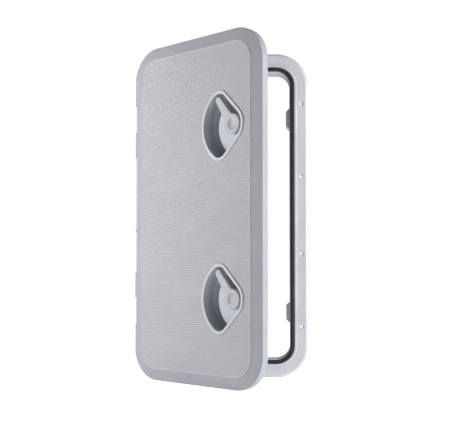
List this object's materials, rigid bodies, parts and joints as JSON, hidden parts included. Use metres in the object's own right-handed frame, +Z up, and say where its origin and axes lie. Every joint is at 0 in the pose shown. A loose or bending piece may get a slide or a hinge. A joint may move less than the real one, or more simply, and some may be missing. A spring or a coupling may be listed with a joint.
{
  "type": "access hatch",
  "caption": "Upright rectangular access hatch: flanged frame with gasket, side-hinged anti-slip lid and recessed turning latches.",
  "frame": {"origin": "centre of the cut-out, on the plane where the flange seats on the bulkhead", "axes": "+X from the hinge to the free side, +Y into the bulkhead, +Z up"},
  "size_m": [0.3229, 0.2615, 0.606],
  "materials": {
    "light_grey_plastic": "satin",
    "textured_grey_plastic": "satin with an anti-slip panel",
    "smooth_grey_plastic": "satin",
    "black_rubber": "matt",
    "stainless_steel": "brushed"
  },
  "bodies": {
    "frame": {"frame": "light_grey_plastic", "gasket": "black_rubber", "hinge_pin": "stainless_steel"},
    "lid": {"lid_shell": "textured_grey_plastic", "upper_latch_cup": "smooth_grey_plastic", "lower_latch_cup": "smooth_grey_plastic", "upper_o_ring": "black_rubber", "lower_o_ring": "black_rubber"},
    "upper_latch": {"upper_lever": "smooth_grey_plastic", "upper_spindle": "stainless_steel", "upper_thrust_washer": "stainless_steel", "upper_cam": "stainless_steel", "upper_spring_washer": "stainless_steel", "upper_cam_screw": "stainless_steel"},
    "lower_latch": {"lower_lever": "smooth_grey_plastic", "lower_spindle": "stainless_steel", "lower_thrust_washer": "stainless_steel", "lower_cam": "stainless_steel", "lower_spring_washer": "stainless_steel", "lower_cam_screw": "stainless_steel"}
  },
  "joints": [
    {"name": "lid_hinge", "type": "hinge", "parent": "frame", "child": "lid", "pos_m": [-0.1559, -0.0124, 0], "axis": [0, 0, -1], "range_deg": [-41.2, 118.8]},
    {"name": "upper_latch_turn", "type": "hinge", "parent": "lid", "child": "upper_latch", "pos_m": [0.02714, -0.18574, 0.14195], "axis": [-0.6587, -0.7524, 0], "range_deg": [0, 109]},
    {"name": "lower_latch_turn", "type": "hinge", "parent": "lid", "child": "lower_latch", "pos_m": [0.02714, -0.18574, -0.15155], "axis": [-0.6587, -0.7524, 0], "range_deg": [0, 109]}
  ]
}
